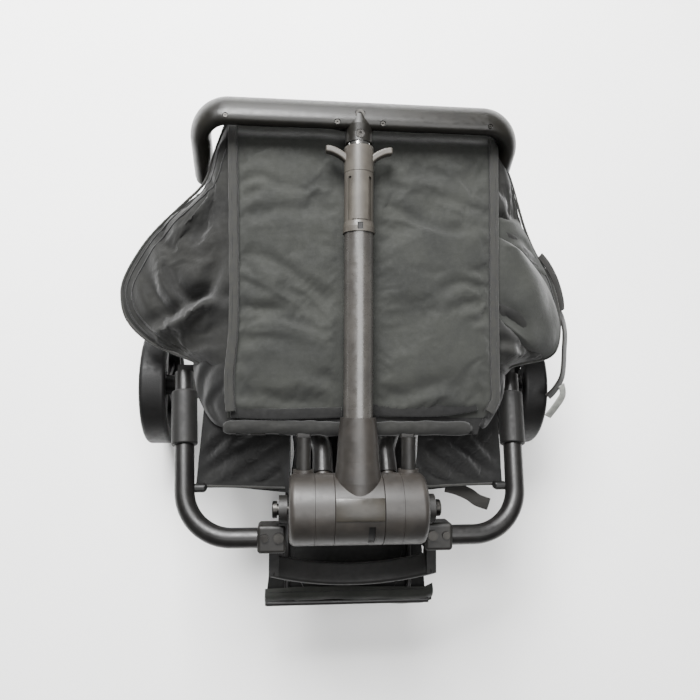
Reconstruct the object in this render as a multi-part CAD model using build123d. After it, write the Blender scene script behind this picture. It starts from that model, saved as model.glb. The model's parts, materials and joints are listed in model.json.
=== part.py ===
from build123d import *
import math
import os

# A compact pet stroller, folded flat and standing on its four wheels.
# Everything is built in hub coordinates: the fold axis runs along X through (0, 0, 0),
# +Y points to the front of the stroller and +Z up. save() then moves each sub-part so that
# the floor is z = 0 and the outline is centred on the origin. Lengths are in millimetres.

# Place of the hub in the finished frame
HUB_Y = -157.5
HUB_Z = 250.0

# Fits
RUNNING = 0.05
BODY_GAP = 0.3

# Fold hub: five knuckles side by side on one shaft
HUB_R = 38.0
SHAFT_R = 6.0
SHAFT_END = 87.0
DRUM_HALF = 26.0
FRONT_RING = (26.3, 46.2)
BACK_RING = (46.5, 73.5)

# Post, collar, trigger and telescopic handle
POST_H = 8.0
POST_R = 16.0
BORE_R = 13.5
POST_START = 42.0
POST_END = 299.0
SOCKET_END = 98.0
COLLAR_START = 299.0
COLLAR_END = 366.0
TRIGGER_START = 366.4
TRIGGER_END = 395.2
NECK_START = 400.0
NECK_R = 14.8
INNER_TUBE_GRIP = 2.0
NECK_SCREW_SEAT = 20.9
GRIP_P = 434.0
GRIP_H = 5.0
GRIP_HALF = 177.0
GRIP_WIDE = 44.0
GRIP_THICK = 23.0
GRIP_CORNER_R = 34.0
ARM_LEAN = 36.0
ARM_LENGTH = 80.0
INNER_TUBE_START = 44.0

# Backrest
ROD_P = 84.0
ROD_H = -18.5
ROD_R = 4.0
ROD_HALF = 141.0
LINK_X = 57.0
PANEL_START = 94.0
PANEL_END = 408.0
PANEL_HALF = 155.0
PAD_TOP = -13.0
PAD_BOTTOM = -22.5
BOARD_BOTTOM = -26.0

# Canopy bows
BOW_P = 190.0
BOW_H = -36.0
BOW_R = 3.5
BOW_PIN_R = 3.0
BOW_FRONT_X = 152.0
BOW_MIDDLE_X = 143.0
BOW_FRONT_END = 397.0
BOW_MIDDLE_END = 385.0

# Seat, hinged on the rod and lying in the wedge below the backrest
SEAT_SLOPE = -13.0
SEAT_DROP = 10.0
SEAT_LENGTH = 262.0
SEAT_START = 16.0
SEAT_HALF = 122.0
SEAT_BOARD = 4.0
SEAT_PAD = 10.0
SEAT_PAD_START = 62.0
SEAT_LUG_S = 150.0
SEAT_LUG_D = 20.0

# Links that carry the seat from the front frame
SEAT_LINK_P = 83.0
SEAT_LINK_H = -62.0
SEAT_LINK_X = 30.0
SEAT_LINK_LENGTH = 143.0
SEAT_LINK_SLOPE = -3.9

# Front frame
LEG_R = 11.5
LEG_WALL = 2.0
LEG_PATH = ((36, 34, -22), (36, 62, -40), (60, 112, -79), (154, 362, -98))
CASTER_X = 160.0
CASTER_P = 376.0
CASTER_TRAIL = 25.0
FRONT_WHEEL_R = 60.0
FRONT_WHEEL_WIDE = 26.0

# Rear frame
REAR_TUBE_R = 11.0
REAR_PATH = ((84, -34, -20), (186, -34, -24), (199, 148, -80))
REAR_CORNER_R = 55.0
REAR_AXLE_P = 135.0
REAR_WHEEL_R = 77.0
REAR_WHEEL_WIDE = 32.0
REAR_WHEEL_X = 241.0
AXLE_R = 4.0

# Basket
BASKET_HALF = 70.0
BASKET_REAR = -122.0
BASKET_FRONT = 138.0
BASKET_TOP = -104.0
BASKET_BOTTOM = -134.0
BASKET_WALL = 2.5
RAIL_R = 3.0
RAIL_HALF = 75.0
RAIL_REAR_HALF = 99.0
RAIL_REAR = -129.0
RAIL_FRONT = 156.0
RAIL_H = -100.0

# Carry strap
STRAP_PATH = ((256, 231), (268.5, 208), (268.5, 150), (256.5, 124))
STRAP_THICK = 3.0
STRAP_BOTTOM = -92.0
STRAP_WIDE = 25.0


# ---------------------------------------------------------------- helpers
def save(name, shape):
    """Move a sub-part from hub coordinates to the finished frame and write it."""
    export_step(Pos(0, HUB_Y, HUB_Z) * shape, f"parts/{name}.step")


def on_left(shape):
    """The same sub-part on the left-hand side, which is the -X side."""
    return mirror(shape, about=Plane.YZ)


def group(*shapes):
    """Several separate solids that share one node."""
    return Compound(children=[solid for shape in shapes for solid in shape.solids()])


def pair(shape):
    """A right-hand sub-part together with its left-hand twin."""
    return group(shape, on_left(shape))


def x_bar(radius, x_start, x_end, p=0.0, h=0.0):
    """A round bar along X."""
    length = x_end - x_start
    return Pos((x_start + x_end) / 2, p, h) * Rot(0, 90, 0) * Cylinder(radius, length)


def y_bar(radius, p_start, p_end, x=0.0, h=POST_H):
    """A round bar along Y, by default on the axis of the post."""
    length = p_end - p_start
    return Pos(x, (p_start + p_end) / 2, h) * Rot(90, 0, 0) * Cylinder(radius, length)


def z_bar(radius, h_start, h_end, x=0.0, p=0.0):
    """A round bar along Z."""
    length = h_end - h_start
    return Pos(x, p, (h_start + h_end) / 2) * Cylinder(radius, length)


def block(x_range, p_range, h_range):
    """A box between two values on each axis."""
    size = [b - a for a, b in (x_range, p_range, h_range)]
    middle = [(a + b) / 2 for a, b in (x_range, p_range, h_range)]
    return Pos(*middle) * Box(*size)


def side_plate(outline, x_start, x_end):
    """A plate whose outline is given as (p, h) points, between two values of x."""
    face = Plane.YZ * make_face(Polyline(*outline, close=True))
    return extrude(Pos(x_start, 0, 0) * face, amount=x_end - x_start, dir=(1, 0, 0))


def flat_plate(outline, h_start, h_end):
    """A plate whose outline is given as (x, p) points, between two heights."""
    face = make_face(Polyline(*outline, close=True))
    return extrude(Pos(0, 0, h_start) * face, amount=h_end - h_start, dir=(0, 0, 1))


def along(points, corner_radius, section):
    """Sweep a flat section along straight runs joined by rounded corners."""
    path = FilletPolyline(*points, radius=corner_radius)
    return sweep(Plane(origin=path @ 0, z_dir=path % 0) * section, path=path)


def seat_place(s, d):
    """Point (p, h) on the seat, s along the board and d below the hinge line."""
    slope = math.radians(SEAT_SLOPE)
    p = ROD_P + s * math.cos(slope) + d * math.sin(slope)
    h = ROD_H + s * math.sin(slope) - d * math.cos(slope)
    return p, h


def seat_frame(shape):
    """Turn a shape drawn on a level seat, hinge line at the origin, to the folded seat."""
    return Pos(0, ROD_P, ROD_H) * Rot(SEAT_SLOPE, 0, 0) * shape


# ---------------------------------------------------------------- fold hub
def hub_shaft():
    """Steel shaft through all the knuckles, with a head on each end."""
    shaft = x_bar(SHAFT_R, -SHAFT_END, SHAFT_END)
    head = chamfer(x_bar(9, SHAFT_END - 1, SHAFT_END + 4).edges().sort_by(Axis.X)[-1], 1)
    return shaft + head + on_left(head)


def front_hub_rings():
    """Inner knuckles, each with a spigot that the front leg slides over."""
    ring = x_bar(HUB_R, *FRONT_RING)
    start = Vector(36, 0, 0)
    tip = Vector(*LEG_PATH[1]) * 0.45 + Vector(*LEG_PATH[0]) * 0.55
    spigot = Plane(origin=start, z_dir=tip - start) * Cylinder(
        LEG_R - LEG_WALL - RUNNING, (tip - start).length, align=(Align.CENTER, Align.CENTER, Align.MIN)
    )
    return pair(ring + spigot - x_bar(SHAFT_R + RUNNING, 20, 50))


def hub_drum():
    """Middle knuckle with the socket that grips the foot of the post."""
    drum = chamfer(x_bar(HUB_R, -DRUM_HALF, DRUM_HALF).edges(), 0.6)
    profile = Polyline(
        (0, 0), (25.5, 0), (25.5, 30), (23, 52), (21.8, 74), (19.4, SOCKET_END), (0, SOCKET_END), close=True
    )
    socket = Pos(0, 0, POST_H) * revolve(make_face(profile), axis=Axis.Y)
    latch_slot = block((9, 16), (-37, -13), (20, 40))
    shell = drum + socket - y_bar(POST_R, POST_START, SOCKET_END + 1)
    return shell - latch_slot - x_bar(SHAFT_R + RUNNING, -40, 40)


def fold_latch():
    """Dark sliding catch in the slot of the drum."""
    strip = x_bar(HUB_R - 1.2, 9.2, 15.8) & block((9.2, 15.8), (-36, -13.2), (20.2, 40))
    return strip


def back_hub_rings():
    """Outer knuckles with rounded outer edges and a pocket for the short tube."""
    ring = x_bar(HUB_R, *BACK_RING)
    ring = fillet(ring.edges().sort_by(Axis.X)[-1], 7)
    boss = y_bar(11.5, 20, 41, LINK_X + 1, -9)
    ring = ring + boss - y_bar(8, 22, 45, LINK_X + 1, -9)
    return pair(ring - x_bar(SHAFT_R + RUNNING, 40, 80))


# ---------------------------------------------------------------- post and handle
def post_tube():
    """Outer tube of the telescopic post."""
    return y_bar(POST_R, POST_START, POST_END) - y_bar(BORE_R, POST_START - 1, POST_END + 1)


def collar_body():
    """Moulded collar on top of the post: a flared foot, then a waist with a recess each side."""
    profile = Polyline(
        (BORE_R, COLLAR_START), (17.6, COLLAR_START), (17.6, 305), (16.2, 311), (16.2, COLLAR_END),
        (BORE_R, COLLAR_END), close=True,
    )
    collar = Pos(0, 0, POST_H) * revolve(make_face(profile), axis=Axis.Y)
    recess = block((9.6, 12.4), (311, 360), (POST_H, POST_H + 20)) - y_bar(14.4, 300, 370)
    window = block((-3, 3), (300.5, 308.5), (POST_H + 14.6, POST_H + 20))
    return collar - recess - on_left(recess) - window


def collar_plate():
    """Thin face plate along the front of the collar."""
    plate = y_bar(17.0, 312, 359) - y_bar(16.2, 311, 360)
    return plate & block((-8.6, 8.6), (310, 361), (POST_H, POST_H + 20))


def trigger():
    """Pull-up trigger: a short sleeve with two swept finger wings."""
    sleeve = y_bar(16.4, TRIGGER_START, TRIGGER_END) - y_bar(BORE_R + RUNNING, 360, 400)
    spine = Spline((10, 377), (22, 388), (37, 392.5), tangents=((0.5, 0.87), (1, 0)))
    wing = extrude(Pos(0, 0, POST_H - 4) * trace(spine, 7.5), amount=11, dir=(0, 0, 1))
    wing = fillet(wing.edges(), 2.0) - y_bar(15, 360, 400)
    return sleeve + wing + on_left(wing)


def inner_tube():
    """Bright tube that telescopes inside the post."""
    tube = y_bar(BORE_R - RUNNING, INNER_TUBE_START, NECK_START + INNER_TUBE_GRIP)
    return tube - y_bar(BORE_R - 1.6, INNER_TUBE_START - 1, NECK_START + INNER_TUBE_GRIP + 1)


def arm_vector():
    """From the corner of the grip to the end of its arm, which drops and leans back."""
    lean = math.radians(ARM_LEAN)
    return Vector(0, -math.sin(lean), -math.cos(lean)) * ARM_LENGTH


def grip_solid():
    """The whole grip: an oval bar with rounded corners and two arms."""
    arm = arm_vector()
    left, right = Vector(-GRIP_HALF, GRIP_P, GRIP_H), Vector(GRIP_HALF, GRIP_P, GRIP_H)
    path = FilletPolyline(left + arm, left, right, right + arm, radius=GRIP_CORNER_R)
    start = Plane(origin=left + arm, x_dir=(1, 0, 0), z_dir=-arm)
    return sweep(start * Ellipse(GRIP_THICK / 2, GRIP_WIDE / 2), path=path)


def corner_cutter(side, gap):
    """Block that covers the outer corner of the grip, beyond its slanting parting line."""
    far = 120
    near = 144 + gap
    outline = ((near, 458), (near + 50, 408), (near + far, 408), (near + far, 458 + far), (near, 458 + far))
    cutter = flat_plate(outline, -60, 40)
    return cutter if side > 0 else on_left(cutter)


# Where each screw sits, its head's radius and the height of its seat above the grip's middle line.
GRIP_SCREWS = (
    (0, 431, 5.0, 12.0), (-25, 420, 2.6, 13.2), (25, 420, 2.6, 13.2), (-146, 422, 2.2, 13.4), (146, 422, 2.2, 13.4),
)
NECK_SCREW = (0, 407, 4.4)


def handle_bar():
    """Grip bar with the screw pockets, less its two corner covers."""
    bar = grip_solid() - corner_cutter(1, 0) - corner_cutter(-1, 0)
    for x, p, radius, seat in GRIP_SCREWS:
        bar = bar - z_bar(radius + 0.7, GRIP_H + seat, GRIP_H + 24, x, p)
    return bar


def screw_head(x, p, radius, seat):
    """Screw head with a driver recess."""
    return z_bar(radius, seat, seat + 1.9, x, p) - z_bar(radius * 0.4, seat + 0.8, seat + 3, x, p)


def handle_screws():
    """Recessed screw heads on the grip and on its neck."""
    heads = [screw_head(x, p, radius, GRIP_H + seat) for x, p, radius, seat in GRIP_SCREWS]
    x, p, radius = NECK_SCREW
    return group(*heads, screw_head(x, p, radius, NECK_SCREW_SEAT))


def handle_corners():
    """Corner covers of the grip."""
    bar = grip_solid()
    return group(bar & corner_cutter(1, 0.25), bar & corner_cutter(-1, 0.25))


def handle_end_caps():
    """Plugs that close the two arm ends."""
    arm = arm_vector()
    end = Plane(origin=Vector(GRIP_HALF, GRIP_P, GRIP_H) + arm, x_dir=(1, 0, 0), z_dir=arm)
    cap = end * extrude(Ellipse(GRIP_THICK / 2 - 0.8, GRIP_WIDE / 2 - 0.8), amount=4)
    return pair(cap)


def handle_neck():
    """Neck that flares from the inner tube into the grip."""
    profile = Polyline(
        (0, NECK_START), (NECK_R, NECK_START), (NECK_R, 410), (15.7, 419), (12, 431), (0, 431),
        close=True,
    )
    neck = Pos(0, 0, POST_H) * revolve(make_face(profile), axis=Axis.Y)
    neck = neck - grip_solid() - y_bar(BORE_R - RUNNING, 390, NECK_START + INNER_TUBE_GRIP)
    x, p, radius = NECK_SCREW
    neck = neck - z_bar(radius + 0.6, NECK_SCREW_SEAT, NECK_SCREW_SEAT + 20, x, p)
    neck = neck & block((-30, 30), (390, 440), (-12, 40))
    return max(neck.solids(), key=lambda solid: solid.volume)


# ---------------------------------------------------------------- backrest
def back_links():
    """Short tubes from the outer knuckles to the cross rod, each ending in a clamp block."""
    tube = y_bar(8, 22, 76, LINK_X + 1, -9) - y_bar(6, 21, 70, LINK_X + 1, -9)
    clamp = block((LINK_X - 7, LINK_X + 9), (74, 91), (-26, -12.5))
    return pair(tube + fillet(clamp.edges(), 2) - x_bar(ROD_R, 40, 80, ROD_P, ROD_H))


def back_rod():
    """Cross rod at the foot of the backrest."""
    return chamfer(x_bar(ROD_R, -ROD_HALF, ROD_HALF, ROD_P, ROD_H).edges(), 0.8)


def back_board():
    """Stiffener sheet behind the back pad, with ears round the cross rod."""
    sheet = block((-PANEL_HALF + 7, PANEL_HALF - 7), (PANEL_START, PANEL_END - 5), (BOARD_BOTTOM, PAD_BOTTOM))
    sheet = fillet(sheet.edges().filter_by(Axis.Z), 18)
    for x in (-132, -85, 72, 119):
        ear = x_bar(6.4, x, x + 13, ROD_P, ROD_H)
        ear = ear + block((x, x + 13), (ROD_P, PANEL_START + 1), (BOARD_BOTTOM, PAD_BOTTOM))
        sheet = sheet + ear - x_bar(ROD_R, x, x + 13, ROD_P, ROD_H)
    return sheet


def back_pad():
    """Padded back panel."""
    pad = block((-PANEL_HALF, PANEL_HALF), (PANEL_START, PANEL_END), (PAD_BOTTOM, PAD_TOP))
    pad = fillet(pad.edges().filter_by(Axis.Z), 20)
    return fillet(pad.faces().sort_by(Axis.Z)[-1].edges(), 5)


WING_TOP = -46.0
WING_BOTTOM = -88.0
LEFT_WING = (
    (-161, 352), (-197, 341), (-235, 303), (-263, 258), (-270, 233), (-259, 204), (-232, 181), (-184, 162),
    (-161, 158),
)
RIGHT_WING = (
    (161, 350), (204, 326), (228, 285), (246, 255), (252, 214), (248, 178), (201, 167), (161, 163)
)


def wing(outline):
    """Side wall cloth of the cabin, folded to a flat wing beside the backrest."""
    solid = flat_plate(outline, WING_BOTTOM, WING_TOP)
    return fillet(solid.edges().filter_by(Axis.Z, reverse=True), 7)


def canopy_pivots():
    """Brackets below the backrest sheet, each with the pin that both bows turn on."""
    plate = block((128, 136), (BOW_P - 12, BOW_P + 12), (BOW_H, BOARD_BOTTOM))
    plate = plate + x_bar(7, 128, 136, BOW_P, BOW_H)
    return pair(plate + x_bar(BOW_PIN_R, 135, 158, BOW_P, BOW_H))


def bow(half, end, eye):
    """A wire hoop from pivot to pivot, with an eye on each pin."""
    points = ((-half, BOW_P, BOW_H), (-half, end, BOW_H), (half, end, BOW_H), (half, BOW_P, BOW_H))
    hoop = along(points, 32, Circle(BOW_R))
    for side in (-1, 1):
        hoop = hoop + x_bar(6.5, side * half - eye, side * half + eye, BOW_P, BOW_H)
        hoop = hoop - x_bar(BOW_PIN_R + RUNNING, side * half - 8, side * half + 8, BOW_P, BOW_H)
    return hoop


def canopy_cloth():
    """Canopy cloth between the bows, folded flat against the backrest."""
    return block((-132, 132), (212, 376), (-31.5, -28.7))


# ---------------------------------------------------------------- seat
def seat_board():
    """Seat sheet with two lugs below for the links."""
    top = -SEAT_DROP + SEAT_BOARD / 2
    bottom = -SEAT_DROP - SEAT_BOARD / 2
    sheet = block((-SEAT_HALF, SEAT_HALF), (SEAT_START, SEAT_LENGTH), (bottom, top))
    sheet = fillet(sheet.edges().filter_by(Axis.Z), 15)
    lug = side_plate(
        ((SEAT_LUG_S - 16, bottom), (SEAT_LUG_S - 6, -SEAT_LUG_D - 6), (SEAT_LUG_S + 6, -SEAT_LUG_D - 6),
         (SEAT_LUG_S + 16, bottom)),
        SEAT_LINK_X + 4, SEAT_LINK_X + 8,
    )
    lug = lug - x_bar(3, 30, 45, SEAT_LUG_S, -SEAT_LUG_D)
    return seat_frame(sheet + lug + on_left(lug))


def seat_pad():
    """Padded seat on the sheet."""
    bottom = -SEAT_DROP + SEAT_BOARD / 2
    half = SEAT_HALF - 3
    pad = block((-half, half), (SEAT_PAD_START, SEAT_LENGTH - 6), (bottom, bottom + SEAT_PAD))
    pad = fillet(pad.edges().filter_by(Axis.Z), 15)
    return seat_frame(fillet(pad.faces().sort_by(Axis.Z)[-1].edges(), 4))


def seat_hinges():
    """Knuckles under the seat sheet that turn on the cross rod."""
    knuckle = x_bar(6.8, 100, 116) + block((100, 116), (-5, 24), (-SEAT_DROP - 5, -SEAT_DROP - 2))
    knuckle = knuckle + block((100, 116), (-5, 5), (-SEAT_DROP - 5, 0))
    return pair(seat_frame(knuckle - x_bar(ROD_R + RUNNING, 99, 117)))


def carry_strap():
    """Webbing loop on the right-hand side, standing on edge."""
    path = FilletPolyline(*STRAP_PATH, radius=14)
    return extrude(Pos(0, 0, STRAP_BOTTOM) * trace(path, STRAP_THICK), amount=STRAP_WIDE, dir=(0, 0, 1))


def seat_links():
    """Flat links from the front frame up to the seat."""
    bar = x_bar(9, -2, 2) + x_bar(7.4, -2, 2, SEAT_LINK_LENGTH)
    bar = bar + block((-2, 2), (0, SEAT_LINK_LENGTH), (-6, 6))
    bar = bar - x_bar(5 + RUNNING, -3, 3) - x_bar(3, -3, 3, SEAT_LINK_LENGTH)
    bar = Pos(SEAT_LINK_X, SEAT_LINK_P, SEAT_LINK_H) * Rot(SEAT_LINK_SLOPE, 0, 0) * bar
    return pair(bar)


# ---------------------------------------------------------------- front frame
def leg_solid():
    """Right front leg as a solid bar."""
    return along(LEG_PATH, 30, Circle(LEG_R))


def caster_housing():
    """Upright bush at the end of a front leg."""
    return z_bar(15, -111, -79, CASTER_X, CASTER_P)


def front_leg():
    """Front leg tube from the inner knuckle to the caster housing."""
    return leg_solid() - along(LEG_PATH, 30, Circle(LEG_R - LEG_WALL)) - caster_housing()


def caster_housings():
    """Caster housings with the bore for the stem and a domed cap."""
    cap = fillet(z_bar(13, -79, -75, CASTER_X, CASTER_P).edges().sort_by(Axis.Z)[-1], 2.5)
    return pair(caster_housing() + cap - z_bar(5 + RUNNING, -112, -83, CASTER_X, CASTER_P))


def front_cross_tube():
    """Cross tube that ties the front legs together."""
    tube = x_bar(8, -136, 136, 300, -93) - x_bar(6.5, -137, 137, 300, -93)
    return tube - leg_solid() - on_left(leg_solid())


def link_shaft():
    """Cross shaft between the front legs that the seat links turn on."""
    return x_bar(5, -44, 44, SEAT_LINK_P, SEAT_LINK_H) - leg_solid() - on_left(leg_solid())


def caster_fork():
    """Fork of a front caster: crown, stem and two trailing cheeks."""
    axle_p = CASTER_P - CASTER_TRAIL
    axle_h = FRONT_WHEEL_R - HUB_Z
    crown = z_bar(15, -121, -112, CASTER_X, CASTER_P) + z_bar(5, -113, -85, CASTER_X, CASTER_P)
    bridge = block((CASTER_X - 19, CASTER_X + 19), (axle_p + 2, CASTER_P + 10), (-128, -119))
    outline = (
        (CASTER_P + 10, -124), (axle_p + 11, axle_h - 4), (axle_p, axle_h - 11), (axle_p - 10, axle_h - 2),
        (axle_p + 2, -124),
    )
    cheek = side_plate(outline, 15, 19)
    fork = crown + bridge + Pos(CASTER_X, 0, 0) * (cheek + on_left(cheek))
    return fork - x_bar(AXLE_R, CASTER_X - 25, CASTER_X + 25, axle_p, axle_h)


def caster_axle():
    """Axle bolt of a front wheel."""
    axle_p = CASTER_P - CASTER_TRAIL
    axle_h = FRONT_WHEEL_R - HUB_Z
    bolt = x_bar(AXLE_R, CASTER_X - 21, CASTER_X + 19, axle_p, axle_h)
    return bolt + x_bar(7, CASTER_X + 19, CASTER_X + 22, axle_p, axle_h)


# ---------------------------------------------------------------- wheels
def tyre(radius, wide):
    """Solid foam tyre with a rounded tread, on the X axis."""
    profile = Pos(0, radius - 6.5) * RectangleRounded(wide, 13, 5.5)
    return revolve(Plane.XY * profile, axis=Axis.X)


def rim(radius, wide, spokes):
    """Moulded rim with a hub and spokes, on the X axis."""
    ring_r = radius - 13.1
    ring = x_bar(ring_r, 3 - wide / 2, wide / 2 - 3) - x_bar(ring_r - 5, -wide, wide)
    hub = x_bar(13, -wide / 2, wide / 2)
    spoke = block((-5, 5), (10, ring_r - 3), (-4.5, 4.5))
    for index in range(spokes):
        hub = hub + Rot(360 / spokes * index, 0, 0) * spoke
    return ring + hub - x_bar(AXLE_R + RUNNING, -wide, wide)


# ---------------------------------------------------------------- rear frame
def rear_bar():
    """Right rear tube as a solid bar."""
    return along(REAR_PATH, REAR_CORNER_R, Circle(REAR_TUBE_R))


def rear_tube():
    """Rear tube: out from the hub, round the corner and down towards the wheel."""
    return rear_bar() - along(REAR_PATH, REAR_CORNER_R, Circle(REAR_TUBE_R - 1.8))


def sleeve_bar(radius):
    """Straight bar on the line of the rear leg where its sleeve sits."""
    foot, top = Vector(*REAR_PATH[1]), Vector(*REAR_PATH[2])
    line = (top - foot).normalized()
    ends = foot + line * 103, foot + line * 167
    middle = (ends[0] + ends[1]) / 2
    return Plane(origin=middle, z_dir=line) * Cylinder(radius, (ends[1] - ends[0]).length)


def rear_sleeves():
    """Moulded sleeves over the lower ends of the rear tubes."""
    sleeve = sleeve_bar(14.8)
    return pair(fillet(sleeve.edges(), 2) - rear_bar())


def rear_fittings():
    """Fittings beside the hub: an eye on the shaft and a clamp on the rear tube."""
    eye = x_bar(15, 75, 84)
    clamp = fillet(block((76, 107), (-48, -18), (-35, -5)).edges(), 4)
    arm = block((75.5, 84), (-34, 4), (-22, -7))
    fitting = eye + clamp + arm - x_bar(REAR_TUBE_R, 84, 110, -34, -20)
    return pair(fitting - rear_bar() - x_bar(SHAFT_R + RUNNING, 70, 90))


def fitting_bolts():
    """Bolt heads on top of the rear fittings."""
    small = z_bar(4.2, -5, -2.6, 99, -31)
    large = z_bar(5.5, -5, -2.2, 84, -31)
    return pair(group(small, large))


def rear_yoke():
    """Curved cross piece behind and below the hub, hung from the two fittings."""
    arc = ThreePointArc((-91, -70, -44), (0, -86, -63), (91, -70, -44))
    start = Plane(origin=arc @ 0, x_dir=(0, 1, -0.45), z_dir=arc % 0)
    bar = sweep(start * RectangleRounded(25, 11, 4), path=arc)
    web = side_plate(((-46, -35), (-22, -35), (-58, -56), (-82, -54), (-80, -36), (-62, -36)), 84, 95)
    return bar + web + on_left(web)


def rear_brackets():
    """Arms from the sleeves down to the rear axle."""
    outline = (
        (104, -80), (158, -86), (157, -120), (150, -180), (142, -188), (128, -188), (120, -180), (117, -120)
    )
    arm = side_plate(outline, 189, 208)
    arm = arm - sleeve_bar(14.8) - rear_bar()
    arm = max(arm.solids(), key=lambda solid: solid.volume)
    arm = arm + x_bar(12, 200, REAR_WHEEL_X - REAR_WHEEL_WIDE / 2 - 1.5, REAR_AXLE_P, REAR_WHEEL_R - HUB_Z)
    return pair(arm - x_bar(AXLE_R, 180, 232, REAR_AXLE_P, REAR_WHEEL_R - HUB_Z))


def rear_axles():
    """Stub axles of the rear wheels, with a retaining cap outside."""
    height = REAR_WHEEL_R - HUB_Z
    outside = REAR_WHEEL_X + REAR_WHEEL_WIDE / 2
    axle = x_bar(AXLE_R, 187, outside + 2, REAR_AXLE_P, height)
    return pair(axle + x_bar(9, outside + 0.6, outside + 4, REAR_AXLE_P, height))


def brake_pedal():
    """Foot brake beside the rear bracket, drawn on its pivot and pointing to the floor."""
    arm = x_bar(9, 178, 187) + Rot(-14, 0, 0) * block((178, 187), (-7, 7), (-42, 0))
    tread = Rot(-14, 0, 0) * fillet(block((160, 187), (-8, 6), (-56, -40)).edges(), 3)
    return arm + tread - x_bar(AXLE_R + RUNNING, 170, 190)


# ---------------------------------------------------------------- basket
def basket_rail():
    """Wire loop that carries the basket, clipped to the front legs, with a longer rod across its rear."""
    points = (
        (-RAIL_HALF, RAIL_FRONT, RAIL_H), (-RAIL_HALF, RAIL_REAR, RAIL_H), (RAIL_HALF, RAIL_REAR, RAIL_H),
        (RAIL_HALF, RAIL_FRONT, RAIL_H),
    )
    clip = block((RAIL_HALF - 7, RAIL_HALF + 7), (140, 154), (RAIL_H - 5, -86)) - leg_solid()
    clip = max(clip.solids(), key=lambda solid: solid.volume)
    rear_rod = x_bar(RAIL_R + 0.6, -RAIL_REAR_HALF, RAIL_REAR_HALF, RAIL_REAR, RAIL_H)
    return along(points, 22, Circle(RAIL_R)) + rear_rod + clip + on_left(clip)


def basket():
    """Shallow cloth basket inside the wire loop, open at the top."""
    outer = block((-BASKET_HALF, BASKET_HALF), (BASKET_REAR, BASKET_FRONT), (BASKET_BOTTOM, BASKET_TOP))
    outer = fillet(outer.edges().filter_by(Axis.Z), 22)
    inner = block(
        (BASKET_WALL - BASKET_HALF, BASKET_HALF - BASKET_WALL),
        (BASKET_REAR + BASKET_WALL, BASKET_FRONT - BASKET_WALL),
        (BASKET_BOTTOM + BASKET_WALL, BASKET_TOP + 1),
    )
    return outer - fillet(inner.edges().filter_by(Axis.Z), 20)


def basket_aprons():
    """Cloth flaps that run from the seat rear edge to the rear tubes."""
    outline = ((88, -36), (88, -40), (13, -57), (13, -53))
    return pair(side_plate(outline, 82, 172))


# ---------------------------------------------------------------- build
def build_single_parts():
    """Sub-parts that exist once, or as one group."""
    save("hub_shaft", hub_shaft())
    save("front_hub_rings", front_hub_rings())
    save("front_cross_tube", front_cross_tube())
    save("link_shaft", link_shaft())
    save("caster_housings", caster_housings())
    save("basket_rail", basket_rail())
    save("basket", basket())
    save("basket_aprons", basket_aprons())
    save("hub_drum", hub_drum())
    save("fold_latch", fold_latch())
    save("post_tube", post_tube())
    save("collar_body", collar_body())
    save("collar_plate", collar_plate())
    save("back_hub_rings", back_hub_rings())
    save("back_links", back_links())
    save("back_rod", back_rod())
    save("back_board", back_board())
    save("back_pad", back_pad())
    save("wing_left", wing(LEFT_WING))
    save("wing_right", wing(RIGHT_WING))
    save("canopy_pivots", canopy_pivots())
    save("canopy_bow_front", bow(BOW_FRONT_X, BOW_FRONT_END, 3.2))
    save("canopy_bow_middle", bow(BOW_MIDDLE_X, BOW_MIDDLE_END, 3.2))
    save("canopy_cloth", canopy_cloth())
    save("inner_tube", inner_tube())
    save("handle_neck", handle_neck())
    save("handle_bar", handle_bar())
    save("handle_corners", handle_corners())
    save("handle_end_caps", handle_end_caps())
    save("handle_screws", handle_screws())
    save("trigger", trigger())
    save("seat_board", seat_board())
    save("seat_pad", seat_pad())
    save("seat_hinges", seat_hinges())
    save("seat_links", seat_links())
    save("carry_strap", carry_strap())
    save("rear_sleeves", rear_sleeves())
    save("rear_fittings", rear_fittings())
    save("fitting_bolts", fitting_bolts())
    save("rear_yoke", rear_yoke())
    save("rear_brackets", rear_brackets())
    save("rear_axles", rear_axles())


def build_sided_parts():
    """Sub-parts with a node of their own on each side."""
    front_hub = Pos(CASTER_X, CASTER_P - CASTER_TRAIL, FRONT_WHEEL_R - HUB_Z)
    rear_hub = Pos(REAR_WHEEL_X, REAR_AXLE_P, REAR_WHEEL_R - HUB_Z)
    pedal_place = Pos(0, REAR_AXLE_P, REAR_WHEEL_R - HUB_Z)
    right_side = {
        "front_leg": front_leg(),
        "caster_fork": caster_fork(),
        "caster_axle": caster_axle(),
        "front_tyre": front_hub * tyre(FRONT_WHEEL_R, FRONT_WHEEL_WIDE),
        "front_rim": front_hub * rim(FRONT_WHEEL_R, FRONT_WHEEL_WIDE, 5),
        "rear_tube": rear_tube(),
        "rear_tyre": rear_hub * tyre(REAR_WHEEL_R, REAR_WHEEL_WIDE),
        "rear_rim": rear_hub * rim(REAR_WHEEL_R, REAR_WHEEL_WIDE, 6),
        "brake_pedal": pedal_place * brake_pedal(),
    }
    for name, shape in right_side.items():
        save(f"{name}_right", shape)
        save(f"{name}_left", on_left(shape))


os.makedirs("parts", exist_ok=True)
build_single_parts()
build_sided_parts()
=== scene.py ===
import json
import math

import bmesh
import bpy
import numpy as np
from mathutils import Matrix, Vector
from mathutils.bvhtree import BVHTree


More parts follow.
